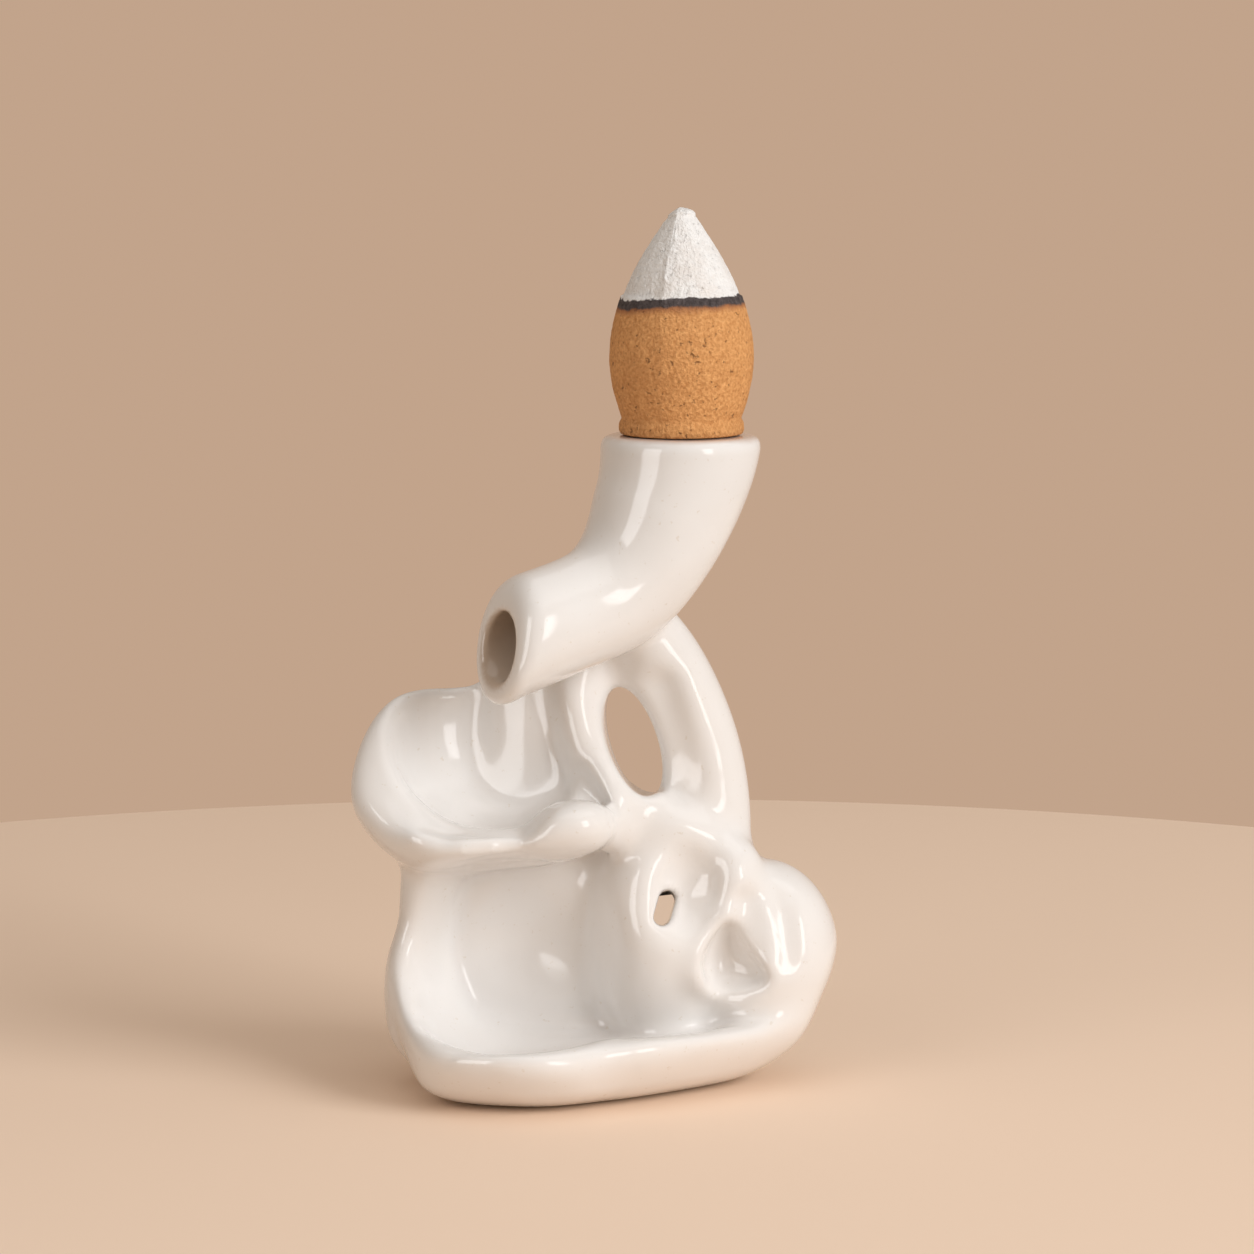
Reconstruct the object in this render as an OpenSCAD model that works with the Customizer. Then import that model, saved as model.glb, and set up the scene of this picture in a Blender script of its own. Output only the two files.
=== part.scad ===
// Backflow incense burner: one piece of glazed porcelain, slip-cast as two basins on a pierced
// trunk under a bent smoke pipe, with a half-burnt incense cone standing on the pipe's seat.
// Millimetres. X runs to the right, Y away from the front, Z up, and z = 0 is the table.

/* [Smoke pipe] */
// Height of the flat seat above the table
seat_height = 72.4; // [66:0.1:88]
// Outside diameter of the pipe at its seat
seat_diameter = 17; // [14.5:0.1:21]
// Turn of the pipe towards the front, away from straight left
pipe_heading = 31; // [20:1:45]
// Radius of the bend, at the pipe's axis
bend_radius = 19; // [16:0.1:23]
// Angle of the bend
bend_angle = 68; // [55:1:80]
// Straight length from the bend to the mouth
run_length = 12.4; // [10:0.1:16]
// Outside diameter of the pipe at its mouth
mouth_diameter = 12.2; // [11:0.1:15]
// Smoke passage at the seat and round the bend
seat_bore = 5.2; // [4:0.1:6.4]
// Smoke passage at the mouth
mouth_bore = 6.6; // [5.6:0.1:8]

/* [Lower basin] */
// Width of the lower basin
basin_width = 46.4; // [40:0.1:56]
// Depth of the lower basin, front to back
basin_depth = 34; // [29:0.1:41]
// Height of the pouring lip above the table
basin_lip = 8; // [7:0.1:9.6]
// Height of the basin's floor above the table
basin_floor = 5.4; // [4.4:0.1:6]
// How far the pouring corner stands in front of the basin's middle
spout_reach = 20.7; // [18:0.1:25]

/* [Upper basin] */
// Width of the upper basin
scoop_width = 30; // [26:0.1:35]
// Depth of the upper basin, front to back
scoop_depth = 24.8; // [22:0.1:30]
// Height of the notch that pours into the lower basin
scoop_lip = 29.5; // [26:0.1:33]
// Rise of the back rim above that notch
scoop_rise = 15.8; // [12:0.1:18]

/* [Trunk] */
// Width of the trunk between the basins
trunk_width = 37; // [31:0.1:44]
// Thickness of the trunk, front to back
trunk_depth = 16; // [13:0.1:19]
// Height of the trunk
trunk_height = 35; // [30:0.1:41]
// Width of the hollow behind the fall
recess_width = 22.8; // [19:0.1:26]
// Width of the shell-like lobe on the right
lobe_width = 17.2; // [14:0.1:20]
// Height of that lobe above the table
lobe_height = 24.8; // [21:0.1:29]

/* [Strut and openings] */
// Thickness of the strut that carries the pipe
strut_width = 8.2; // [7:0.1:10]
// Thickness of the strand on the other side of the eye
strand_width = 3.6; // [3.2:0.1:4.6]
// Thickness of the web round the eye
web_thickness = 6.6; // [5:0.1:8]
// Width of the oval eye
eye_width = 5.4; // [4.4:0.1:6.4]
// Length of the oval eye
eye_height = 12.8; // [11:0.1:15]
// Width of the small slanting hole in the trunk
hole_width = 1.9; // [1.5:0.1:2.4]
// Length of that hole
hole_height = 4; // [3.2:0.1:4.8]

/* [Porcelain] */
// Wall left round both basins
wall = 3.6; // [3:0.1:4.3]
// Reach of the soft joins between the masses
blend = 3; // [2:0.1:4]
// Reach of the rounding at rims
rim_round = 3; // [2.4:0.1:3.6]

/* [Incense cone] */
// Width of the cone at its belly
cone_diameter = 16; // [13.5:0.1:16.6]
// Height of the cone as it stands, tip partly burnt
cone_height = 25.3; // [21:0.1:31]
// Width of the cone's neck, just above its foot
cone_neck = 13.2; // [11:0.1:13.4]
// Width of the pressed foot band
cone_foot = 13.8; // [13.4:0.1:14.4]
// Width of the blunt tip
cone_tip = 3.4; // [2.8:0.1:4]
// Height of the ember line
ember_height = 15.2; // [12:0.1:18]
// Height of the charred ring under the ash
char_height = 0.9; // [0.6:0.1:1.4]
// Bore that draws the smoke down through the cone
cone_bore = 3; // [2.4:0.1:3.6]
// Depth of that bore from the foot
cone_bore_depth = 13; // [10:0.1:14]

/* [Skin] */
// Size of the cells in which the porcelain's skin is laid
cell = 1.6; // [1.6:0.05:2.6]

/* [Hidden] */
porcelain = "#f2efe8";
paste = "#d79c58";
charred = "#37302d";
ash = "#ebe9e6";

$fn = 72;

// The pipe: its axis drops from the seat, bends towards the heading and runs out to the mouth
seat = [10, 3, seat_height];
heading = [-cos(pipe_heading), -sin(pipe_heading), 0];
function bend_point(a) = seat + heading * bend_radius * (1 - cos(a)) - [0, 0, bend_radius * sin(a)];
run_way = heading * sin(bend_angle) - [0, 0, cos(bend_angle)];
mouth = bend_point(bend_angle) + run_way * run_length;
mouth_way = [-0.848, -0.505, 0.162];
bend_length = bend_radius * bend_angle * PI / 180;
pipe_length = bend_length + run_length;

// The lower basin, and the edges that the masses over it are placed from
basin = [0.6, -0.5];
left = basin.x - basin_width / 2;
right = basin.x + basin_width / 2;
spout = [basin.x - 9, basin.y - spout_reach + 11.6];
shore = [9.8, -7, 0];

// The upper basin overhangs the lower one's left edge
scoop = [left + scoop_width / 2 - 4.3, -2, scoop_lip + 5.7];
nose = [scoop.x + scoop_width / 2 - 4.5, scoop.y - 5.2, scoop_lip + 0.6];

// The trunk and what grows out of it
trunk = [basin.x - 3.6, 8, 17];
belly = [8, 1, 17.4];
recess = [left + recess_width / 2 + 2, -8.6, 15.4];
lobe = [right - 4.8, 3, lobe_height - 10.6];

// The strut and the strand leave the trunk together and part round the eye
root = 23;
strut_top = bend_point(52) + [0.5, 4.4, -5.4];
strand_top = bend_point(bend_angle) + [-1, 5.7, -7.8];
eye = [4.75, 4, (strut_top.z + root) / 2 + 0.4];
crotch = eye + [-2.35, -4.8, -4.3];
hole = [8.15, -3, 20.4];

// Rounded joins of two masses a and b that lie within k of each other
function join(a, b, k) =
    let (h = max(k - abs(a - b), 0) / k)
    min(a, b) - h * h * k / 4;
function both(a, b, k) = -join(-a, -b, k);
function carve(a, b, k) = both(a, -b, k);
function ease(t) =
    let (c = min(max(t, 0), 1))
    c * c * (3 - 2 * c);

// Distance from p to an egg-shaped mass with half sizes r
function egg(p, at, r) =
    let (
        q = p - at,
        a = [q.x / r.x, q.y / r.y, q.z / r.z],
        b = [a.x / r.x, a.y / r.y, a.z / r.z],
        n = norm(a)
    )
    n < 0.001 ? -min(r) : n * (n - 1) / norm(b);

// The same egg leaning to the right by tilt and to the back by nod
function leaning_egg(p, at, r, tilt, nod = 0) =
    let (
        q = p - at,
        x = q.x * cos(tilt) - q.z * sin(tilt),
        z = q.x * sin(tilt) + q.z * cos(tilt)
    )
    egg([x, q.y * cos(nod) + z * sin(nod), z * cos(nod) - q.y * sin(nod)], [0, 0, 0], r);

// A round limb from a to b
function limb(p, a, b, ra, rb) =
    let (h = min(max((p - a) * (b - a) / ((b - a) * (b - a)), 0), 1))
    norm(p - a - h * (b - a)) - ra - (rb - ra) * h;

// A round limb along the circular arc from a through m to b. arc() gives the arc's centre, its
// radius, the way to its middle, the way along it and half its angle.
function arc(a, m, b) =
    let (
        n = cross(m - a, b - a),
        c = a + (cross(n, m - a) * ((b - a) * (b - a)) + cross(b - a, n) * ((m - a) * (m - a))) / (2 * n * n),
        r = norm(a - c),
        chord = (a + b) / 2 - c,
        u = chord / norm(chord) * sign(chord * (m - c)),
        w = cross(n, u) / norm(n)
    )
    [c, r, u, w, atan2((b - c) * w, (b - c) * u)];
function bent_limb(p, way, ra, rb) =
    let (
        q = p - way[0],
        s = way[4],
        t = min(max(atan2(q * way[3], q * way[2]) * sign(s), -abs(s)), abs(s)),
        at = way[1] * (cos(t) * way[2] + sin(t) * sign(s) * way[3])
    )
    norm(q - at) - ra - (rb - ra) * (t / abs(s) + 1) / 2;

strut_way = arc(strut_top, eye + [6.95, -0.2, 1.6], [12.8, 3, root - 1]);
strand_way = arc(strand_top, eye + [-5.85, -3.6, 1.6], crotch);
brow_way = arc(crotch, [9, -1, root + 6.7], [15.8, -0.6, root + 2]);
cheek_way = arc([15.8, -1.6, root + 2], [14.7, -3.3, root - 2.5], [12.4, -5, root - 9.4]);
furrow_way = arc(eye + [3.05, -4.9, 6.6], eye + [4.85, -5.4, 0.6], eye + [5.95, -6.2, -3.3]);

// How far p lies from the pipe's axis and along it, where the axis bends and then runs straight.
// Above the seat the axis goes on straight up.
function pipe_place(p) =
    let (
        q = p - seat,
        u = q * heading,
        v = -q.z,
        a = min(max(atan2(v, bend_radius - u), 0), bend_angle),
        end = bend_point(bend_angle) - seat,
        out = max(0, (q - end) * run_way),
        above = v < 0 && u < bend_radius,
        cu = above ? 0 : out > 0 ? end * heading + out * sin(bend_angle) : bend_radius * (1 - cos(a)),
        cv = above ? v : out > 0 ? -end.z + out * cos(bend_angle) : bend_radius * sin(a)
    )
    [
        norm([u - cu, v - cv, q.y * heading.x - q.x * heading.y]),
        above ? 0 : out > 0 ? bend_length + out : bend_radius * a * PI / 180
    ];

// The pipe's outside slims down towards the mouth. It is cut off square at the seat and askew at
// the mouth.
function pipe(p) =
    let (
        at = pipe_place(p),
        f = min(at[1] / pipe_length, 1),
        r = seat_diameter / 2 + (mouth_diameter - seat_diameter) / 2 * f * (0.55 + 0.45 * f)
    )
    both(both(at[0] - r, p.z - seat.z - 0.05, 0.6 * rim_round), (p - mouth) * mouth_way, 0.75 * rim_round);

// The lower basin is a wide bowl with a pouring corner at its front left. Its rim climbs on the
// left, and the front right is undercut down to the narrower foot.
function lower_basin(p) =
    let (
        bowl = egg(p, [basin.x, basin.y, basin_lip + 3], [basin_width / 2, basin_depth / 2, basin_lip + 8.5]),
        corner = egg(p, [spout.x, spout.y, basin_lip + 0.5], [11.8, 11.6, basin_lip + 4.5]),
        rise = ease((-p.x - 4) / 12) * min(max(p.y + 18, 0), 15) * 0.58,
        outside = both(join(bowl, corner, blend + 1), (p.z - basin_lip - rise) * 0.85, rim_round),
        hollow = egg(
            p, [basin.x + 0.6, basin.y - 1.5, basin_floor + 13.6],
            [basin_width / 2 - wall, basin_depth / 2 - wall - 0.5, 17]
        ),
        gutter = egg(p, [spout.x + 0.4, spout.y, basin_floor + 11.6], [11.8 - wall + 0.9, 11.6 - wall + 0.4, 13]),
        pool = both(join(hollow, gutter, blend), basin_floor - p.z, 5),
        undercut = (p - shore) * [0.4187, -0.57, -0.707]
    )
    carve(both(outside, undercut, blend), both(pool, undercut + wall, 0.6 * blend), 0.6 * rim_round);

// The upper basin is a scoop with a low wavy lip in front, which dips beside the nose, and a high
// wall behind. Its left wall stands a little flatter than the rest.
function upper_basin(p) =
    let (
        shell = egg(p, scoop, [scoop_width / 2, scoop_depth / 2, 12.2]),
        flat = scoop.x - scoop_width / 2 + 1.7 + 0.34 * (p.z - scoop.z - 5.8) - p.x,
        lip = scoop_lip + 2 * ease((p.x - scoop.x - 3.9) / 5) + ease((scoop.x - 3.1 - p.x) / 5),
        dip = 4 * ease((p.x - scoop.x - 5.9) / 6),
        back = ease((p.y + 9.5 - dip) / 12.5) * (scoop_rise + 0.16 * (p.x - scoop.x + 4.1)),
        hollow = egg(
            p, scoop + [1.5, -1.6, 6],
            [scoop_width / 2 - wall + 0.5, scoop_depth / 2 - wall + 0.2, 12]
        )
    )
    carve(both(both(shell, flat, blend), (p.z - lip - back) * 0.72, rim_round), hollow, 0.6 * rim_round);

// The trunk carries the upper basin: a core at the back, a pillar on the left, a belly in the
// middle, a lobe on the right that slopes in to the foot, and a smooth hollow behind the fall
function trunk_masses(p) =
    let (
        core = egg(p, trunk, [trunk_width / 2, trunk_depth / 2, trunk_height - trunk.z]),
        pillar = limb(p, [left + 5.2, 0, scoop_lip - 1.5], [left + 4.4, -0.5, basin_lip - 1], 3.4, 3.8),
        middle = egg(p, belly, [8.2, 8, 12.9]),
        low = join(join(join(lower_basin(p), core, blend), pillar, blend), middle, blend),
        high = join(low, upper_basin(p), 0.75 * blend),
        hollow = egg(p, recess, [recess_width / 2, recess_width / 2, 11.2]),
        shell = egg(p, lobe, [lobe_width / 2, 9, 10.6]),
        slope = (p.x - lobe.x - 2.1 - 0.5 * p.z) * 0.894
    )
    join(carve(high, hollow, 1.2 * blend), both(shell, slope, 2), blend);

// Over the trunk stand the upper basin's end wall, the strand, the strut and the web that joins
// them under the pipe. From the strand's foot a brow runs on to the right, over the small hole,
// and ends in a cheek and a shoulder on the lobe. The oval eye goes right through the web.
function upper_masses(p) =
    let (
        half_height = (strut_top.z - root) / 2,
        a = join(trunk_masses(p), leaning_egg(p, nose, [3.9, 3.6, 2.7], 0, -10), blend),
        b = join(a, egg(p, [-4, 5.5, eye.z], [8, 4, half_height - 1.5]), blend),
        c = join(b, egg(p, [eye.x, 4.5, eye.z], [8.5, web_thickness / 2, half_height - 0.5]), 0.7 * blend),
        knee = join(c, egg(p, crotch + [0.2, -1.8, -4], [2.4, 2.4, 2.6]), blend),
        d = join(knee, bent_limb(p, strand_way, strand_width / 2, strand_width / 2 + 0.2), blend),
        e = join(d, bent_limb(p, brow_way, strand_width / 2 + 0.1, strand_width / 2 + 0.4), blend + 1),
        f = join(e, bent_limb(p, strut_way, strut_width / 2, strut_width / 2 + 0.3), blend - 0.5),
        g = join(f, bent_limb(p, cheek_way, 1.4, 1.4), blend),
        h = join(g, limb(p, [15.6, -1.9, root + 0.4], lobe + [-1, -5.6, 6], 1.6, 1.4), 0.8 * blend)
    )
    carve(h, leaning_egg(p, eye, [eye_width / 2, 15, eye_height / 2], -17.5, -8), 1.4);

// Hollows pressed into the front: a furrow down the strut, an alcove behind the nose, a funnel
// round the small hole, a pocket above the shore and two shallow folds in the lobe
function pressed(p) =
    let (
        a = carve(upper_masses(p), bent_limb(p, furrow_way, 1, 0.8), blend),
        b = carve(a, limb(p, nose + [-0.8, 3.8, 5.1], nose + [3.2, 2.3, 1.3], 2.1, 0.6), 0.4 * blend),
        c = carve(b, leaning_egg(p, hole + [2.35, -3.7, 2.8], [2.7, 4.3, 4.3], 12), 1.2 * blend),
        pocket = join(
            leaning_egg(p, lobe + [-4.1, -8.5, 1.2], [1.9, 3.3, 3.8], 8),
            leaning_egg(p, lobe + [-2.7, -9, -0.3], [3.2, 3, 1.9], 20), blend
        ),
        d = carve(c, pocket, 1.4),
        e = carve(d, limb(p, lobe + [2.1, -7.4, 7.6], lobe + [3, -9.5, 1.4], 1.1, 1), 0.8 * blend)
    )
    carve(e, limb(p, lobe + [-1.4, -8, 7.2], lobe + [-0.5, -9.6, 2.8], 0.9, 0.9), 0.8 * blend);

// The whole porcelain skin is where this depth is nought. High up there is only the pipe, and
// low down nothing of it.
function porcelain_field(p) =
    p.z > strut_top.z + 8 ? pipe(p)
    : p.z < mouth.z - mouth_diameter ? both(pressed(p), -1 - p.z, 0.3)
    : join(pressed(p), pipe(p), 0.4 * blend);

// The box that the porcelain lies in, with room on every side
low = [
    min(scoop.x - scoop_width / 2, left, mouth.x - mouth_diameter / 2) - 3,
    min(basin.y - spout_reach, mouth.y - mouth_diameter / 2) - 3,
    -1 - 1.5 * cell
];
high = [
    max(right, lobe.x + lobe_width / 2, seat.x + seat_diameter / 2) + 3,
    max(trunk.y + trunk_depth / 2, seat.y + seat_diameter / 2, lobe.y + 9) + 3,
    seat.z + 1.5 * cell
];

// The skin is laid cell by cell: each cell that the surface crosses gets one point, set on the
// surface, and each grid edge that the surface crosses gets a four-sided patch round it
sides = [[1, 0, 0], [0, 1, 0], [0, 0, 1]];
corners = [for (x = [0, 1], y = [0, 1], z = [0, 1]) [x, y, z]];
quarters = [for (a = [0:2], s = [-1, 1], t = [-1, 1]) [s * sides[a], t * sides[(a + 1) % 3]]];

// Depths at the grid's nodes. Far from the surface a node takes the depth of its even neighbour.
function depths(low, n, cell) =
    let (
        far = 3 * cell,
        even = [for (i = [0:2:n.x]) [for (j = [0:2:n.y]) [for (k = [0:2:n.z]) porcelain_field(low + cell * [i, j, k])]]]
    )
    [for (i = [0:n.x]) [for (j = [0:n.y]) [for (k = [0:n.z])
        let (
            outer = i == 0 || j == 0 || k == 0 || i == n.x || j == n.y || k == n.z,
            near = even[floor(i / 2)][floor(j / 2)][floor(k / 2)],
            same = abs(near) > far || (i % 2 == 0 && j % 2 == 0 && k % 2 == 0),
            d = same ? near : porcelain_field(low + cell * [i, j, k])
        )
        outer ? max(d, 0.1) : d
    ]]];

// Where two inside nodes would meet only across the diagonal of a cell's face, the node between
// them that lies nearer the surface is filled, so that the skin never pinches itself
function pinched(depth, q) =
    len([for (s = quarters)
        let (a = q + s[0], b = q + s[1], c = a + s[1])
        if (depth[a.x][a.y][a.z] < 0 && depth[b.x][b.y][b.z] < 0 && depth[c.x][c.y][c.z] >= depth[q.x][q.y][q.z]) 1
    ]) > 0;
function settled(depth, n, cell, passes) =
    passes == 0 ? depth : settled([for (i = [0:n.x]) [for (j = [0:n.y]) [for (k = [0:n.z])
        let (d = depth[i][j][k])
        d >= 0 && d < cell && i * j * k > 0 && i < n.x && j < n.y && k < n.z && pinched(depth, [i, j, k])
            ? -0.02 * cell : d
    ]]], n, cell, passes - 1);

module skin(low, high, cell) {
    n = [for (a = [0:2]) ceil((high[a] - low[a]) / cell)];
    depth = settled(depths(low, n, cell), n, cell, 3);
    function at(q) = depth[q.x][q.y][q.z];
    crossed = [for (i = [0:n.x - 1], j = [0:n.y - 1], k = [0:n.z - 1])
        let (
            a = depth[i][j],
            b = depth[i + 1][j],
            c = depth[i][j + 1],
            d = depth[i + 1][j + 1],
            least = min(a[k], a[k + 1], b[k], b[k + 1], c[k], c[k + 1], d[k], d[k + 1]),
            most = max(a[k], a[k + 1], b[k], b[k + 1], c[k], c[k + 1], d[k], d[k + 1])
        )
        least < 0 && most >= 0 ? 1 : 0
    ];
    number = [for (c = 0, m = 0; c < len(crossed); m = m + crossed[c], c = c + 1) m];
    function cell_point(q) = number[(q.x * n.y + q.y) * n.z + q.z];
    points = [for (i = [0:n.x - 1], j = [0:n.y - 1], k = [0:n.z - 1])
        if (crossed[(i * n.y + j) * n.z + k] == 1)
            let (
                q = [i, j, k],
                ends = [for (c = corners) at(q + c)],
                hits = [for (a = [0:2], c = corners)
                    if (c[a] == 0 && (at(q + c) < 0) != (at(q + c + sides[a]) < 0))
                        c + sides[a] * at(q + c) / (at(q + c) - at(q + c + sides[a]))
                ],
                middle = low + cell * (q + [for (h = hits) 1] * hits / len(hits)),
                slope = ends * [for (c = corners) 2 * c - [1, 1, 1]] / (4 * cell),
                reach = porcelain_field(middle) / max(slope * slope, 0.25)
            )
            middle - min(max(reach, -cell / 2), cell / 2) * slope
    ];
    patches = [for (a = [0:2], i = [0:n.x - 1], j = [0:n.y - 1], k = [0:n.z - 1])
        let (q = [i, j, k], d = at(q), e = at(q + sides[a]))
        if ((d < 0) != (e < 0))
            let (
                b = sides[(a + 1) % 3],
                c = sides[(a + 2) % 3],
                ring = [cell_point(q - b - c), cell_point(q - c), cell_point(q), cell_point(q - b)],
                turned = d < 0 ? ring : [ring[0], ring[3], ring[2], ring[1]],
                short = norm(points[ring[0]] - points[ring[2]]) < norm(points[ring[1]] - points[ring[3]])
            )
            each short
                ? [[turned[2], turned[1], turned[0]], [turned[3], turned[2], turned[0]]]
                : [[turned[3], turned[1], turned[0]], [turned[3], turned[2], turned[1]]]
    ];
    polyhedron(points, patches, convexity = 10);
}

// The smoke's way: in through the seat, round the bend in two elbows, and out through the
// widening run
module smoke_passage() {
    past = 4;
    reach = bend_radius * tan(bend_angle / 4);
    widening = (mouth_bore - seat_bore) / run_length;
    translate(seat - [0, 0, reach]) {
        cylinder(d = seat_bore, h = reach + 3);
        sphere(d = seat_bore);
    }
    translate(seat + heading * bend_radius) rotate([-90, 0, pipe_heading]) {
        rotate([0, 0, bend_angle / 2]) translate([bend_radius, -reach, 0]) rotate([-90, 0, 0])
            cylinder(d = seat_bore - 0.02, h = 2 * reach);
        rotate([0, 0, bend_angle]) translate([bend_radius, -reach, 0]) {
            sphere(d = seat_bore);
            rotate([-90, 0, 0])
                cylinder(d1 = seat_bore - 0.02, d2 = mouth_bore + past * widening, h = reach + run_length + past);
        }
    }
}

// A small slot that slants down through the trunk from the front
module slanting_hole() {
    straight = hole_height - hole_width;
    through = 4 * trunk_depth;
    translate(hole) rotate([-100.8, 0, 0]) rotate([0, 0, 16.3]) {
        for (s = [-1, 1]) translate([0, s * straight / 2, 0]) cylinder(d = hole_width, h = through, center = true);
        cube([hole_width, straight, through], center = true);
    }
}

module burner() {
    wide = 3 * (high.x - low.x);
    color(porcelain) difference() {
        skin(low, high, cell);
        translate([-wide / 2, -wide / 2, -wide]) cube(wide);
        translate([seat.x - seat_diameter, seat.y - seat_diameter, seat.z]) cube([2 * seat_diameter, 2 * seat_diameter, 5]);
        smoke_passage();
        slanting_hole();
    }
}

// Half width of the cone at a height z above its foot: a straight band, a round belly and a
// slimmer ogive that ends in a blunt, domed tip
band_height = 1.1;
belly_height = 8.3;
tip_dome = 0.9;
ogive = (cone_height - tip_dome - belly_height) / pow(1 - cone_tip / cone_diameter, 1 / 1.9);
function cone_radius(z) =
    z < band_height ? cone_foot / 2
    : z < belly_height ?
        let (t = (belly_height - z) / (belly_height - band_height - 0.5))
        cone_diameter / 2 - (cone_diameter - cone_neck) / 2 * pow(min(t, 1), 1.8)
    : z < cone_height - tip_dome ? cone_diameter / 2 * (1 - pow((z - belly_height) / ogive, 1.9))
    : cone_tip / 2 * sqrt(max(0, 1 - pow((z - cone_height + tip_dome) / tip_dome, 2)));

module cone_zone(from, to, shrink = 0) {
    steps = ceil((to - from) / 0.9);
    rotate_extrude() polygon(concat(
        [[0, from]],
        [for (i = [0:steps]) let (z = from + (to - from) * i / steps) [max(cone_radius(z) - shrink, 0), z]],
        [[0, to]]
    ));
}

module incense_cone() {
    translate(seat) difference() {
        union() {
            color(paste) cone_zone(0, band_height);
            color(paste) cone_zone(band_height, ember_height);
            color(charred) cone_zone(ember_height, ember_height + char_height);
            color(ash) cone_zone(ember_height + char_height, cone_height, 0.15);
        }
        translate([0, 0, -1]) cylinder(d = cone_bore, h = cone_bore_depth + 1);
    }
}

burner();
incense_cone();
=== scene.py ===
# Backflow incense burner: a glazed porcelain ornament of two pouring basins on a pierced trunk
# under a bent smoke pipe, with a half-burnt incense cone standing on the pipe's seat. The packed
# solids give the places, and each piece below is finished over its own solid.
from math import atan2, cos, exp, hypot, pi, radians, sin, tan

import bmesh
import bpy
import numpy as np
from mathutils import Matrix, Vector, noise


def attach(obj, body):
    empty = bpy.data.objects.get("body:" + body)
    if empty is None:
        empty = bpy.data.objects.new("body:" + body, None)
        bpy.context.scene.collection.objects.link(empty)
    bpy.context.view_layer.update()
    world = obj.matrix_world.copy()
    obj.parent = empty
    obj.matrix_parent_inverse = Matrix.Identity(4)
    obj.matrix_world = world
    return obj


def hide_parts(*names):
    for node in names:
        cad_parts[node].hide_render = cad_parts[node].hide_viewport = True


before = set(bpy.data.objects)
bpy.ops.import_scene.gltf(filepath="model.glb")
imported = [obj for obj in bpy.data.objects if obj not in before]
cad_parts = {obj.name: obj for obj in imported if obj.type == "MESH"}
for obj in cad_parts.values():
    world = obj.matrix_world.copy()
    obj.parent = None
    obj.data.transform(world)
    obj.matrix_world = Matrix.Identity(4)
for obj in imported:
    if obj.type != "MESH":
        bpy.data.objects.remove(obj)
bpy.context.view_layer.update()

# The camera stands half a metre in front of the burner, a little above it, and looks down a
# touch, as the photograph was taken. Its focal length is in the photograph's pixels.
photo_width = 1254
focal_length = 4850
looks_down = 7.49
view = bpy.data.cameras.new("front_view")
view.sensor_width = 36
view.lens = focal_length / photo_width * view.sensor_width
view.clip_start = 0.01
view_point = bpy.data.objects.new("front_view", view)
view_point.location = (0.004, -0.530, 0.121)
view_point.rotation_euler = (radians(90 - looks_down), 0, 0)
bpy.context.scene.collection.objects.link(view_point)
bpy.context.scene.camera = view_point


# The burner is one piece of slip-cast porcelain: two basins, a trunk, a strut and the smoke pipe,
# all run together under the glaze. Its skin is the solid's own, laid finer and worked smooth to
# the depth rules below, which are in millimetres and nought on the skin.
def join(a, b, reach):
    h = np.maximum(reach - np.abs(a - b), 0) / reach
    return np.minimum(a, b) - h * h * reach / 4


def both(a, b, reach):
    return -join(-a, -b, reach)


def carve(a, b, reach):
    return both(a, -b, reach)


def ease(t):
    c = np.clip(t, 0, 1)
    return c * c * (3 - 2 * c)


# An egg-shaped mass that may lean to the right by tilt and to the back by nod
def egg(p, at, half, tilt=0, nod=0):
    q = p - np.array(at, float)
    if tilt or nod:
        t, n = radians(tilt), radians(nod)
        x = q[:, 0] * cos(t) - q[:, 2] * sin(t)
        z = q[:, 0] * sin(t) + q[:, 2] * cos(t)
        q = np.stack([x, q[:, 1] * cos(n) + z * sin(n), z * cos(n) - q[:, 1] * sin(n)], 1)
    a = q / np.array(half, float)
    n = np.linalg.norm(a, axis=1)
    return n * (n - 1) / np.maximum(np.linalg.norm(a / np.array(half, float), axis=1), 1e-6)


# A round limb from a to b, and one along the arc from a through m to b
def limb(p, a, b, start, end):
    a, way = np.array(a, float), np.array(b, float) - np.array(a, float)
    h = np.clip((p - a) @ way / (way @ way), 0, 1)
    return np.linalg.norm(p - a - h[:, None] * way, axis=1) - start - (end - start) * h


def bent_limb(p, a, m, b, start, end):
    a, m, b = (np.array(v, float) for v in (a, m, b))
    n = np.cross(m - a, b - a)
    bow = np.cross(n, m - a) * ((b - a) @ (b - a)) + np.cross(b - a, n) * ((m - a) @ (m - a))
    centre = a + bow / (2 * n @ n)
    chord = (a + b) / 2 - centre
    u = chord / np.linalg.norm(chord) * np.sign(chord @ (m - centre))
    w = np.cross(n, u) / np.linalg.norm(n)
    half = atan2((b - centre) @ w, (b - centre) @ u)
    way, half = np.sign(half), abs(half)
    q = p - centre
    t = np.clip(np.arctan2(q @ w, q @ u) * way, -half, half)
    at = np.linalg.norm(a - centre) * (np.cos(t)[:, None] * u + (np.sin(t) * way)[:, None] * w)
    return np.linalg.norm(q - at, axis=1) - start - (end - start) * (t / half + 1) / 2


# The pipe's axis drops from the seat, bends towards its heading and runs out to the mouth. In
# the crook it is pinched towards the outer side.
seat = np.array([10, 3, 72.4])
pipe_heading = radians(31)
bend_radius = 19
bend_angle = radians(68)
run_length = 12.4
bend_length = bend_radius * bend_angle
heading = np.array([-cos(pipe_heading), -sin(pipe_heading), 0])
bend_drop = np.array([0, 0, bend_radius * sin(bend_angle)])
bend_end = heading * bend_radius * (1 - cos(bend_angle)) - bend_drop
run_way = heading * sin(bend_angle) - np.array([0, 0, cos(bend_angle)])
mouth = seat + bend_end + run_way * run_length
mouth_way = np.array([-0.848, -0.505, 0.162])
outer_way = np.array([0.746, 0.448, -0.492])


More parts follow.
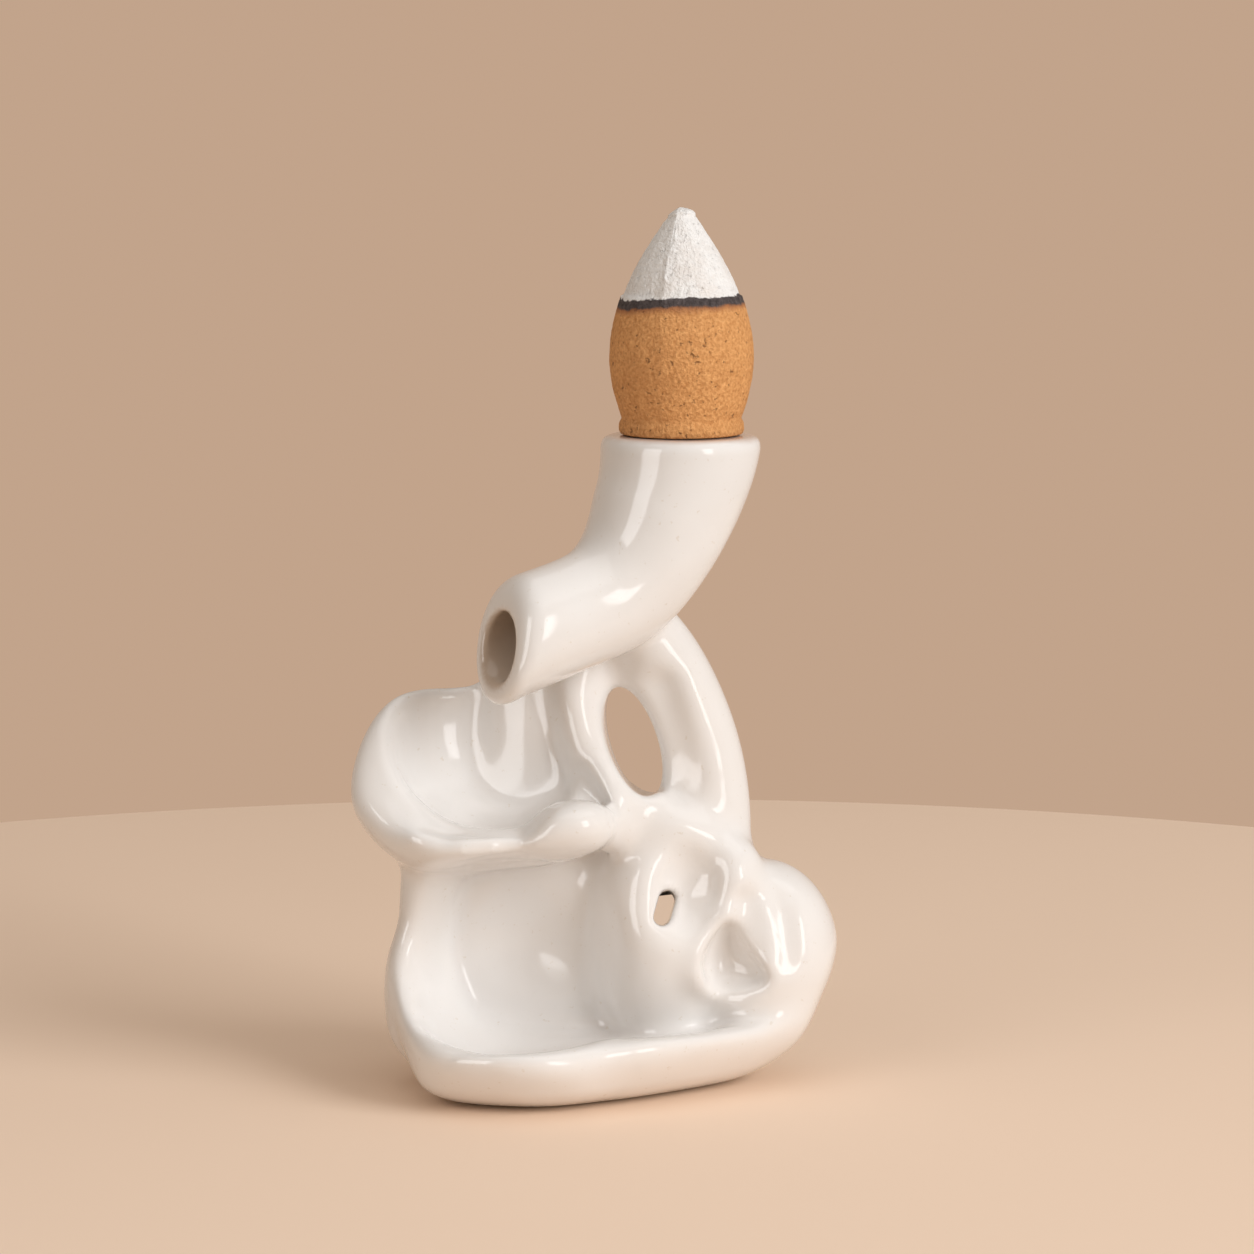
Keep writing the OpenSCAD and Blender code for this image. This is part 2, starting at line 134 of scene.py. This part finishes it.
def along_pipe(p):
    q = p - seat
    u, v = q @ heading, -q[:, 2]
    a = np.clip(np.arctan2(v, bend_radius - u), 0, bend_angle)
    out = np.maximum(0, (q - bend_end) @ run_way)
    run = np.where((v < 0) & (u < bend_radius), 0, bend_radius * a + out)
    pinch = 0.9 * ease(1 - np.abs(run - 21) / 11)
    cu = bend_radius * (1 - np.cos(a)) + out * sin(bend_angle) - pinch * np.cos(a)
    cv = bend_radius * np.sin(a) + out * cos(bend_angle) + pinch * np.sin(a)
    cv = np.where(run > 0, cv, v)
    across = q[:, 1] * heading[0] - q[:, 0] * heading[1]
    return np.sqrt((u - cu) ** 2 + (v - cv) ** 2 + across ** 2) + pinch, run


# Outside, the pipe slims down from a flared seat to its mouth, which is cut off askew
seat_half = 8.5
mouth_half = 6.1
edge_round = 1.8


def smoke_pipe(p):
    off, run = along_pipe(p)
    f = np.minimum(run / (bend_length + run_length), 1)
    slimmer = (seat_half - mouth_half) * f * (0.55 + 0.45 * f)
    flare = 0.5 * ease(1 - run / 14)
    waist = 0.2 * ease((run - 18) / 10)
    pipe = both(off - (seat_half - slimmer + flare - waist), p[:, 2] - seat[2] - 0.05, edge_round)
    outer_side = (p - seat) @ outer_way - 10.3
    return both(both(pipe, outer_side, 5), (p - mouth) @ mouth_way, 2.25)


# Inside, three straight limbs lead the smoke round the bend, and the last one widens. They run
# on past the seat and the mouth, so that both are open.
passage_half = 2.6
wide_half = 3.52
overrun = 4


def smoke_passage(p):
    reach = bend_radius * tan(bend_angle / 4)
    top = seat + np.array([0, 0, overrun])
    elbow = seat - np.array([0, 0, reach])
    second = seat + bend_end - run_way * reach
    end = second + run_way * (run_length + overrun + reach)
    fall = limb(p, top, elbow, passage_half, passage_half)
    middle = limb(p, elbow, second, passage_half, passage_half)
    return join(join(fall, middle, 0.5), limb(p, second, end, passage_half, wide_half), 0.5)


# The lower basin is a wide bowl with a pouring corner at its front left. Its rim climbs on the
# left, the front right is undercut down to the narrower foot, and the corner's foot is tucked.
blend = 3
rim_round = 3
wall = 3.6
basin_x, basin_y = 0.6, -0.5
basin_half_width = 23.2
basin_half_depth = 17
basin_lip = 8
basin_floor = 5.4
left = basin_x - basin_half_width
right = basin_x + basin_half_width
corner_x, corner_y = -8.4, -9.6
corner_half_width = 11.8
corner_half_depth = 11.6
undercut_from = np.array([9.8, -7, 0])
undercut_way = np.array([0.4187, -0.57, -0.707])
tuck_from = np.array([-6, -19.4, 3.4])
tuck_way = np.array([-0.14, -0.63, -0.764])


def lower_basin(p):
    x, y, z = p.T
    bowl = egg(p, (basin_x, basin_y, basin_lip + 3),
               (basin_half_width, basin_half_depth, basin_lip + 8.5))
    corner = egg(p, (corner_x, corner_y, basin_lip + 0.5),
                 (corner_half_width, corner_half_depth, basin_lip + 4.5))
    rise = ease((-x - 4) / 12) * np.clip(y + 18, 0, 15) * 0.58
    outside = both(join(bowl, corner, blend + 1), (z - basin_lip - rise) * 0.85, rim_round)
    hollow = egg(p, (basin_x + 0.6, basin_y - 1.5, basin_floor + 13.6),
                 (basin_half_width - wall, basin_half_depth - wall - 0.5, 17))
    gutter = egg(p, (corner_x + 0.4, corner_y, basin_floor + 11.6),
                 (corner_half_width - wall + 0.9, corner_half_depth - wall + 0.4, 13))
    pool = both(join(hollow, gutter, blend), basin_floor - z, 5)
    undercut = (p - undercut_from) @ undercut_way
    tucked = (p - tuck_from) @ tuck_way
    outside = both(both(outside, undercut, blend), tucked, blend)
    return carve(outside, both(pool, undercut + wall, edge_round), edge_round)


# The upper basin is a scoop with a low wavy lip in front, which dips beside the spout, and a
# high wall behind. Its left wall stands a little flatter than the rest.
scoop_lip = 29.5
scoop_rise = 15.8
scoop_half_width = 15
scoop_half_depth = 12.4
scoop = np.array([-11.9, -2, scoop_lip + 5.7])


def upper_basin(p):
    x, y, z = p.T
    from_middle = x - scoop[0]
    shell = egg(p, scoop, (scoop_half_width, scoop_half_depth, 12.2))
    flatter_side = 0.34 * (z - scoop[2] - 5.8) - scoop_half_width + 1.7 - from_middle
    shell = both(shell, flatter_side, blend)
    lip = scoop_lip + 2 * ease((from_middle - 3.9) / 5) + ease((-3.1 - from_middle) / 5)
    dip = 4 * ease((from_middle - 5.9) / 6)
    back = ease((y + 9.5 - dip) / 12.5) * (scoop_rise + 0.16 * (from_middle + 4.1))
    bowl = both(shell, (z - lip - back) * 0.72, rim_round)
    hollow = egg(p, scoop + np.array([1.5, -1.6, 6]),
                 (scoop_half_width - wall + 0.5, scoop_half_depth - wall + 0.2, 12))
    return carve(bowl, hollow, edge_round)


# The trunk carries the upper basin: a core at the back, a pillar on the left, a belly in the
# middle, a lobe on the right that slopes in to the foot, and a recess under the upper lip
trunk_half_width = 18.5
trunk_half_depth = 8
trunk_height = 35
recess_half = 11.4
lobe_half_width = 8.6
lobe_height = 24.8


def trunk(p):
    core = egg(p, (basin_x - 3.6, 8, 17), (trunk_half_width, trunk_half_depth, trunk_height - 17))
    pillar = limb(p, (left + 5.2, 0, scoop_lip - 1.5), (left + 4.4, -0.5, basin_lip - 1), 3.4, 3.8)
    belly = egg(p, (8, 1, 17.4), (8.2, 8, 12.9))
    masses = lower_basin(p)
    for mass in (core, pillar, belly):
        masses = join(masses, mass, blend)
    recess = egg(p, (left + recess_half + 2, -8.6, 15.4), (recess_half, recess_half, 11.2))
    masses = carve(join(masses, upper_basin(p), 0.75 * blend), recess, 1.2 * blend)
    lobe = egg(p, (right - 4.8, 3, lobe_height - 10.6), (lobe_half_width, 9, 10.6))
    slope = (p[:, 0] - right + 2.7 - 0.5 * p[:, 2]) * 0.894
    return join(masses, both(lobe, slope, 2), blend)


# Over the trunk stand the spout, the upper basin's end wall, and the strand, the strut and the
# web between them. From the strand's foot a brow runs on to the right, over the small slot, and
# ends in a cheek and a shoulder on the lobe.
crotch = (2.4, -0.8, 33.6)
strut_half = 4.1
strand_half = 1.8


def upper_masses(p):
    spout = egg(p, (-1.4, -7.2, 30.1), (3.9, 3.6, 2.7), 0, -10)
    end_wall = egg(p, (-4, 5.5, 37.9), (8, 4, 13))
    web = egg(p, (4.75, 4.5, 37.9), (8.5, 3.3, 14))
    knee = egg(p, (2.6, -2.6, 29.6), (2.4, 2.4, 2.6))
    strand_ends = strand_half, strand_half + 0.2
    strand = bent_limb(p, (-1.2, 2.6, 47), (-1.1, 0.4, 39.5), crotch, *strand_ends)
    brow_ends = strand_half + 0.1, strand_half + 0.4
    brow = bent_limb(p, crotch, (9, -1, 29.7), (15.8, -0.6, 25), *brow_ends)
    strut_ends = strut_half, strut_half + 0.3
    strut = bent_limb(p, (4.24, 3.64, 52), (11.7, 3.8, 39.5), (12.8, 3, 22), *strut_ends)
    cheek = bent_limb(p, (15.8, -1.6, 25), (14.7, -3.3, 20.5), (12.4, -5, 13.6), 1.4, 1.4)
    shoulder = limb(p, (15.6, -1.9, 23.4), (18, -2.6, 20.2), 1.6, 1.4)
    masses = trunk(p)
    for mass, reach in (
        (spout, blend), (end_wall, blend), (web, 0.7 * blend), (knee, blend), (strand, blend),
        (brow, blend + 1), (strut, blend - 0.5), (cheek, blend), (shoulder, 0.8 * blend),
    ):
        masses = join(masses, mass, reach)
    return masses


# The eye goes right through the web. A furrow runs down the strut, and an alcove behind the
# spout, a funnel round the slot, a pocket and two folds in the lobe are pressed into the front.
def pressed(p):
    eye = egg(p, (4.75, 4, 37.9), (2.7, 15, 6.4), -17.5, -8)
    furrow = bent_limb(p, (7.8, -0.9, 44.5), (9.6, -1.4, 38.5), (10.7, -2.2, 34.6), 1, 0.8)
    alcove = limb(p, (-2.2, -3.4, 35.2), (1.8, -4.9, 31.4), 2.1, 0.6)
    funnel = egg(p, (10.5, -6.7, 23.2), (2.7, 4.3, 4.3), 12)
    pocket_end = egg(p, (16.3, -6, 13.9), (3.2, 3, 1.9), 20)
    pocket = join(egg(p, (14.9, -5.5, 15.4), (1.9, 3.3, 3.8), 8), pocket_end, blend)
    long_fold = limb(p, (21.1, -4.4, 21.8), (22, -6.5, 15.6), 1.1, 1)
    short_fold = limb(p, (17.6, -5, 21.4), (18.5, -6.6, 17), 0.9, 0.9)
    masses = upper_masses(p)
    for hollow, reach in (
        (eye, 1.4), (furrow, blend), (alcove, 0.4 * blend), (funnel, 1.2 * blend), (pocket, 1.4),
        (long_fold, 0.8 * blend), (short_fold, 0.8 * blend),
    ):
        masses = carve(masses, hollow, reach)
    return masses


# The small slot slants down through the trunk from the front
slot_way = np.array([0, 0.982, -0.187])
slot_upright = np.array([0.28, 0.18, 0.94])
slot_half_width = 0.95
slot_half_straight = 1.05


def slanting_slot(p):
    q = p - np.array([8.15, -3, 20.4])
    q = q - (q @ slot_way)[:, None] * slot_way
    along = np.clip(q @ slot_upright, -slot_half_straight, slot_half_straight)
    return np.linalg.norm(q - along[:, None] * slot_upright, axis=1) - slot_half_width


# The whole casting, cut off level at the seat and rounded off under its foot
def porcelain(p):
    d = join(pressed(p), smoke_pipe(p), 0.4 * blend)
    d = carve(carve(d, smoke_passage(p), 0.8), slanting_slot(p), 0.6)
    return both(both(d, p[:, 2] - seat[2], 0.4), -p[:, 2], blend)


# The skin is laid twice, coarse and then fine. Each time its points are drawn to depth nought
# along the slope and evened out between their neighbours, and the last two turns only draw.
nudge = 0.02
longest_step = 0.4
evening = 0.6
burner_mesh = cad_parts["burner"].data.copy()
shape = bmesh.new()
shape.from_mesh(burner_mesh)
bmesh.ops.remove_doubles(shape, verts=shape.verts, dist=1e-6)
shape.to_mesh(burner_mesh)
shape.free()
burner = bpy.data.objects.new("porcelain_burner", burner_mesh)
bpy.context.scene.collection.objects.link(burner)
for lay, turns in ((0.0009, 9), (0.00046, 7)):
    finer = burner.modifiers.new("finer", "REMESH")
    finer.mode = "VOXEL"
    finer.voxel_size = lay
    finer.use_smooth_shade = True
    bpy.context.view_layer.update()
    laid = burner.evaluated_get(bpy.context.evaluated_depsgraph_get())
    burner_mesh = bpy.data.meshes.new_from_object(laid)
    burner.modifiers.clear()
    burner.data = burner_mesh
    places = np.zeros(len(burner_mesh.vertices) * 3)
    burner_mesh.vertices.foreach_get("co", places)
    places = places.reshape(-1, 3) * 1000
    pairs = np.zeros(len(burner_mesh.edges) * 2, int)
    burner_mesh.edges.foreach_get("vertices", pairs)
    pairs = pairs.reshape(-1, 2)
    shares = np.bincount(pairs.ravel(), minlength=len(places))
    for turn in range(turns):
        depth = porcelain(places)
        slope = [porcelain(places + nudge * axis) - depth for axis in np.eye(3)]
        slope = np.stack(slope, 1) / nudge
        step = depth / np.maximum((slope ** 2).sum(1), 0.2)
        places = places - np.clip(step, -longest_step, longest_step)[:, None] * slope
        if turn < turns - 2:
            for i in range(3):
                pull = (np.bincount(pairs[:, 0], places[pairs[:, 1], i], len(places))
                        + np.bincount(pairs[:, 1], places[pairs[:, 0], i], len(places)))
                places[:, i] += evening * (pull / shares - places[:, i])
    burner_mesh.vertices.foreach_set("co", (places / 1000).ravel())
    burner_mesh.update()
burner_mesh.polygons.foreach_set("use_smooth", [True] * len(burner_mesh.polygons))
burner_mesh.update()

# Smoke has stained the inside of the passage
stain = burner_mesh.attributes.new("smoke_stain", "FLOAT", "POINT")
stain.data.foreach_set("value", ease(1.2 - smoke_passage(places) / 0.6))

# Soft patches that run from Low to High, for glaze, paste and ash alike
unevenness = bpy.data.node_groups.new("unevenness", "ShaderNodeTree")
unevenness.interface.new_socket("Place", in_out="INPUT", socket_type="NodeSocketVector")
for label in ("Scale", "Detail", "Low", "High"):
    unevenness.interface.new_socket(label, in_out="INPUT", socket_type="NodeSocketFloat")
unevenness.interface.new_socket("Amount", in_out="OUTPUT", socket_type="NodeSocketFloat")
given = unevenness.nodes.new("NodeGroupInput")
result = unevenness.nodes.new("NodeGroupOutput")
cloud = unevenness.nodes.new("ShaderNodeTexNoise")
cloud.inputs["Roughness"].default_value = 0.6
spread = unevenness.nodes.new("ShaderNodeMapRange")
spread.inputs["From Min"].default_value = 0.28
spread.inputs["From Max"].default_value = 0.72
for out, into in (
    (given.outputs["Place"], cloud.inputs["Vector"]),
    (given.outputs["Scale"], cloud.inputs["Scale"]),
    (given.outputs["Detail"], cloud.inputs["Detail"]),
    (cloud.outputs["Fac"], spread.inputs["Value"]),
    (given.outputs["Low"], spread.inputs["To Min"]),
    (given.outputs["High"], spread.inputs["To Max"]),
    (spread.outputs["Result"], result.inputs["Amount"]),
):
    unevenness.links.new(out, into)


def uneven(tree, place, scale, low, high, detail=3.0):
    patch = tree.nodes.new("ShaderNodeGroup")
    patch.node_tree = unevenness
    tree.links.new(place, patch.inputs["Place"])
    for label, value in (("Scale", scale), ("Detail", detail), ("Low", low), ("High", high)):
        patch.inputs[label].default_value = value
    return patch.outputs["Amount"]


def between(tree, value, start, end, high=1.0):
    rise = tree.nodes.new("ShaderNodeMapRange")
    rise.interpolation_type = "SMOOTHSTEP"
    tree.links.new(value, rise.inputs["Value"])
    for label, number in (("From Min", start), ("From Max", end), ("To Max", high)):
        rise.inputs[label].default_value = number
    return rise.outputs["Result"]


def reckoned(tree, kind, *terms):
    sum_node = tree.nodes.new("ShaderNodeMath")
    sum_node.operation = kind
    for term, socket in zip(terms, sum_node.inputs):
        if isinstance(term, (int, float)):
            socket.default_value = term
        else:
            tree.links.new(term, socket)
    return sum_node.outputs[0]


def tinted(tree, amount, under, over):
    mix = tree.nodes.new("ShaderNodeMix")
    mix.data_type = "RGBA"
    tree.links.new(amount, mix.inputs["Factor"])
    for colour, socket in ((under, mix.inputs["A"]), (over, mix.inputs["B"])):
        if isinstance(colour, tuple):
            socket.default_value = (*colour, 1)
        else:
            tree.links.new(colour, socket)
    return mix.outputs["Result"]


def raised(tree, height, depth, strength):
    relief = tree.nodes.new("ShaderNodeBump")
    relief.inputs["Distance"].default_value = depth
    relief.inputs["Strength"].default_value = strength
    tree.links.new(height, relief.inputs["Height"])
    return relief.outputs["Normal"]


# A thick clear glaze over white clay, a little wavy, with sparse specks. It stops just short of
# the table, where the clay is bare and dull, and it is sooty round the seat's edge.
clear_white = (0.83, 0.82, 0.81)
cream_white = (0.82, 0.795, 0.77)
speck = (0.76, 0.72, 0.67)
smoke_brown = (0.46, 0.33, 0.22)
pale_soot = (0.62, 0.49, 0.42)
bare_clay = (0.72, 0.655, 0.575)
clay_roughness = 0.66
glaze_roughness = 0.10
bare_to = 0.0006
glazed_from = 0.0009
soot_from = 0.0715
soot_full_at = 0.0724
glaze = bpy.data.materials.new("white_glaze")
glaze.use_nodes = True
tree = glaze.node_tree
body = tree.nodes["Principled BSDF"]
body.inputs["IOR"].default_value = 1.5
body.inputs["Coat Roughness"].default_value = 0.03
place = tree.nodes.new("ShaderNodeTexCoord").outputs["Object"]
split = tree.nodes.new("ShaderNodeSeparateXYZ")
tree.links.new(place, split.inputs[0])
smoked = tree.nodes.new("ShaderNodeAttribute")
smoked.attribute_name = "smoke_stain"
edge = reckoned(tree, "ADD", split.outputs["Z"], uneven(tree, place, 500, -0.0002, 0.0002))
glazed = between(tree, edge, bare_to, glazed_from)
white = tinted(tree, uneven(tree, place, 60, 0, 1), clear_white, cream_white)
white = tinted(tree, uneven(tree, place, 1400, -6.5, 1), white, speck)
white = tinted(tree, reckoned(tree, "MULTIPLY", smoked.outputs["Fac"], 0.75), white, smoke_brown)
sooty = reckoned(tree, "ADD", split.outputs["Z"], uneven(tree, place, 110, -0.0005, 0.0004))
white = tinted(tree, between(tree, sooty, soot_from, soot_full_at, 0.6), white, pale_soot)
tree.links.new(tinted(tree, glazed, bare_clay, white), body.inputs["Base Color"])
smoother = reckoned(tree, "MULTIPLY_ADD", glazed, glaze_roughness - clay_roughness, clay_roughness)
tree.links.new(smoother, body.inputs["Roughness"])
tree.links.new(reckoned(tree, "MULTIPLY", glazed, 0.25), body.inputs["Coat Weight"])
waves = uneven(tree, place, 130, 0, 1, 0.5)
tree.links.new(raised(tree, waves, 0.00035, 0.6), body.inputs["Normal"])
burner_mesh.materials.clear()
burner_mesh.materials.append(glaze)
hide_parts("burner")
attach(burner, "root")

# The incense cone is wood powder pressed in a two-part mould, turned here from its outline with
# the smoke bore in its foot. It has burnt two fifths of the way down, to white ash over a
# charred ring, and stands loose on the pipe's seat. Its sizes are in millimetres.
cone_tall = 24.9
belly_half = 8
belly_at = 8.3
neck_half = 6.6
band_tall = 1.7
point_over_belly = 18.1
tip_half = 1.75
tip_dome = 0.7
cone_bore_half = 1.5
cone_bore_deep = 13
ember_at = 14.3
ash_at = 15.3
mould_seams = (-109, 71)
cone_at = Vector((0.010, 0.003, 0.07242))


def cone_half_width(z):
    if z < band_tall:
        return neck_half + 0.3 * (1 - abs(2 * z / band_tall - 1) ** 3)
    if z < belly_at:
        down = (belly_at - z) / (belly_at - band_tall)
        return belly_half - (belly_half - neck_half) * down ** 1.8
    if z > cone_tall - tip_dome:
        return tip_half * (1 - ((z - cone_tall + tip_dome) / tip_dome) ** 2.6) ** 0.5
    shrunk = 0.12 if z > ash_at else 0
    return belly_half * (1 - ((z - belly_at) / point_over_belly) ** 1.9) - shrunk


heights = [0.08] + [i * 0.2 for i in range(1, 122)]
heights += [cone_tall - tip_dome * (1 - sin(radians(a))) for a in range(10, 90, 10)]
outline = [(0, cone_bore_deep), (1.1, cone_bore_deep - 0.4), (cone_bore_half, cone_bore_deep - 1)]
outline += [(cone_bore_half, 0), (6.35, 0)]
outline += [(cone_half_width(z), z) for z in heights] + [(0, cone_tall)]
turning = bmesh.new()
rim = [turning.verts.new((r / 1000, 0, z / 1000)) for r, z in outline]
edges = [turning.edges.new(pair) for pair in zip(rim, rim[1:])]
bmesh.ops.spin(turning, geom=rim + edges, cent=(0, 0, 0), axis=(0, 0, 1), angle=2 * pi,
               steps=220, use_merge=True)
bmesh.ops.remove_doubles(turning, verts=turning.verts, dist=2e-6)
for corner in turning.verts:
    x, y, z = corner.co * 1000
    out = hypot(x, y)
    if out < cone_bore_half + 0.1 and z < ember_at:
        continue
    # Pressed powder is a little lumpy, and more so where it has burnt
    burnt = z > ash_at
    swell = 0.06 * noise.noise((x / 2, y / 2, z / 2))
    swell += 0.04 * noise.noise((x * 2.6, y * 2.6, z * 2.6))
    swell += 0.05 * noise.noise((x * 1.4, y * 1.4, z * 1.4 + 9)) if burnt else 0
    # The halves of the mould met a little out of line, which leaves a step that fades sideways
    for seam in mould_seams:
        beside = ((radians(seam) - atan2(y, x) + pi) % (2 * pi) - pi) * out
        beside += 0.5 * noise.noise((0, seam, z * 0.25)) + 0.1 * noise.noise((3, seam, z * 2.5))
        if beside > 0:
            step = (1 - exp(-beside / 1.5)) * exp(-beside / 6)
        else:
            step = -0.12 * exp(beside / 0.25)
        swell -= step * (0.75 if burnt else 0.22) * min(z / 3, 1)
    corner.co.xy *= 1 + swell * min(out / 3, 1) / max(out, 0.1)
    # The blunt tip has crumbled, most of all on its left
    if z > cone_tall - 1.6:
        worn = 0.45 * max(0, -x - 0.3) + 0.12 * max(0, x)
        corner.co.z -= worn * (z - cone_tall + 1.6) / 1600
bmesh.ops.translate(turning, verts=turning.verts, vec=cone_at)
bmesh.ops.recalc_face_normals(turning, faces=turning.faces)
for side in turning.faces:
    side.smooth = True
cone_mesh = bpy.data.meshes.new("burnt_cone")
turning.to_mesh(cone_mesh)
turning.free()
cone = bpy.data.objects.new("burnt_cone", cone_mesh)
bpy.context.scene.collection.objects.link(cone)

# The paste is grainy and pitted, scorched under the ember line, which runs a little askew, and
# the ash keeps the grain
dark_paste = (0.56, 0.245, 0.08)
light_paste = (0.92, 0.49, 0.20)
oily_paste = (0.52, 0.235, 0.085)
pit_brown = (0.20, 0.085, 0.035)
scorched = (0.30, 0.11, 0.055)
coal_black = (0.045, 0.038, 0.038)
coal_grey = (0.12, 0.10, 0.10)
ash_grey = (0.86, 0.84, 0.82)
ash_white = (0.95, 0.94, 0.93)
ash_stain = (0.80, 0.72, 0.66)
paste = bpy.data.materials.new("pressed_paste")
paste.use_nodes = True
tree = paste.node_tree
body = tree.nodes["Principled BSDF"]
body.inputs["Roughness"].default_value = 0.9
body.inputs["Specular IOR Level"].default_value = 0.25
place = tree.nodes.new("ShaderNodeTexCoord").outputs["Object"]
split = tree.nodes.new("ShaderNodeSeparateXYZ")
tree.links.new(place, split.inputs[0])
# The height over the ember line, in millimetres, wavy and leaning a little
above = reckoned(tree, "MULTIPLY_ADD", split.outputs["Z"], 1000, -1000 * cone_at.z - ember_at)
above = reckoned(tree, "MULTIPLY_ADD", split.outputs["X"], -40, above)
above = reckoned(tree, "ADD", above, uneven(tree, place, 260, 0.1, 0.7))
above = reckoned(tree, "ADD", above, uneven(tree, place, 2600, -0.09, 0.09))
pits = between(tree, uneven(tree, place, 1500, 0, 1), 0.80, 0.95)
colour = tinted(tree, uneven(tree, place, 2600, 0, 1), dark_paste, light_paste)
colour = tinted(tree, uneven(tree, place, 160, 0, 0.45), colour, oily_paste)
colour = tinted(tree, reckoned(tree, "MULTIPLY", pits, 0.7), colour, pit_brown)
colour = tinted(tree, between(tree, above, -0.9, -0.1, 0.7), colour, scorched)
coal = tinted(tree, uneven(tree, place, 1800, 0, 1), coal_black, coal_grey)
colour = tinted(tree, between(tree, above, -0.25, 0.12), colour, coal)
ash = tinted(tree, uneven(tree, place, 1900, 0, 1), ash_grey, ash_white)
ash = tinted(tree, uneven(tree, place, 240, -0.4, 0.5), ash, ash_stain)
colour = tinted(tree, between(tree, above, 0.84, 0.98), colour, ash)
tree.links.new(colour, body.inputs["Base Color"])
grain = reckoned(tree, "MULTIPLY_ADD", pits, -0.8, uneven(tree, place, 2600, 0, 1))
grain = reckoned(tree, "MULTIPLY_ADD", uneven(tree, place, 800, 0, 1), 0.7, grain)
tree.links.new(raised(tree, grain, 0.00013, 1.0), body.inputs["Normal"])
cone_mesh.materials.append(paste)
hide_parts("incense_cone")
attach(cone, "root")

# The table top is a plain pale round, not part of the burner. Its far edge is the line that shows
# behind the trunk.
table_half = 0.192
table_colour = (0.95, 0.745, 0.585, 1)
table_finish = bpy.data.materials.new("pale_table")
table_finish.use_nodes = True
table_finish.node_tree.nodes["Principled BSDF"].inputs["Base Color"].default_value = table_colour
table_finish.node_tree.nodes["Principled BSDF"].inputs["Roughness"].default_value = 0.9
table_shape = bmesh.new()
bmesh.ops.create_circle(table_shape, cap_ends=True, segments=180, radius=table_half)
table_mesh = bpy.data.meshes.new("table_top")
table_shape.to_mesh(table_mesh)
table_shape.free()
table_top = bpy.data.objects.new("table_top", table_mesh)
table_mesh.materials.append(table_finish)
bpy.context.scene.collection.objects.link(table_top)


# Each side has a large soft lamp that lights the burner and doesn't show in the glaze. The left
# also has a tall window that only shows in the glaze, the right a small one that does both, and
# a broad soft lamp hangs above.
def soft_window(name, at, towards, width, height, watts, lights=True, shines=True):
    lamp = bpy.data.lights.new(name, "AREA")
    lamp.shape = "RECTANGLE"
    lamp.size = width
    lamp.size_y = height
    lamp.energy = watts
    lamp.color = (0.97, 0.985, 1.0)
    stand = bpy.data.objects.new(name, lamp)
    stand.location = at
    stand.rotation_euler = (Vector(towards) - Vector(at)).to_track_quat("-Z", "Y").to_euler()
    stand.visible_diffuse = lights
    stand.visible_glossy = shines
    bpy.context.scene.collection.objects.link(stand)


soft_window("left_fill", (-0.44, -0.48, 0.30), (0, 0, 0.10), 0.40, 0.60, 0.8, shines=False)
soft_window("left_window", (-0.44, -0.48, 0.20), (0, 0, 0.20), 0.27, 0.56, 1.6, lights=False)
soft_window("right_key", (0.68, -0.46, 0.40), (0, 0, 0.06), 0.50, 0.50, 4.9, shines=False)
soft_window("right_window", (0.50, -0.60, 0.27), (0, 0, 0.10), 0.20, 0.42, 1.0)
soft_window("top_light", (0.10, -0.05, 0.80), (0, 0, 0.04), 0.90, 0.90, 1.65)

# The room is a plain wall colour wherever it is seen or mirrored, and gives a faint warm light
wall_colour = (0.54, 0.37, 0.26, 1)
air_colour = (1, 0.80, 0.61, 1)
air_strength = 0.27
room = bpy.data.worlds.new("room")
bpy.context.scene.world = room
room.use_nodes = True
air = room.node_tree.nodes
light_path = air.new("ShaderNodeLightPath")
seen, mirrored = (air.new("ShaderNodeMath") for _ in range(2))
seen.operation = mirrored.operation = "MAXIMUM"
backdrop = air.new("ShaderNodeBackground")
backdrop.inputs["Color"].default_value = wall_colour
mixed = air.new("ShaderNodeMixShader")
air["Background"].inputs["Color"].default_value = air_colour
air["Background"].inputs["Strength"].default_value = air_strength
for out, into in (
    (light_path.outputs["Is Glossy Ray"], mirrored.inputs[0]),
    (light_path.outputs["Is Transmission Ray"], mirrored.inputs[1]),
    (light_path.outputs["Is Camera Ray"], seen.inputs[0]),
    (mirrored.outputs[0], seen.inputs[1]),
    (seen.outputs[0], mixed.inputs[0]),
    (air["Background"].outputs[0], mixed.inputs[1]),
    (backdrop.outputs[0], mixed.inputs[2]),
    (mixed.outputs[0], air["World Output"].inputs["Surface"]),
):
    room.node_tree.links.new(out, into)
bpy.context.scene.view_settings.view_transform = "Standard"
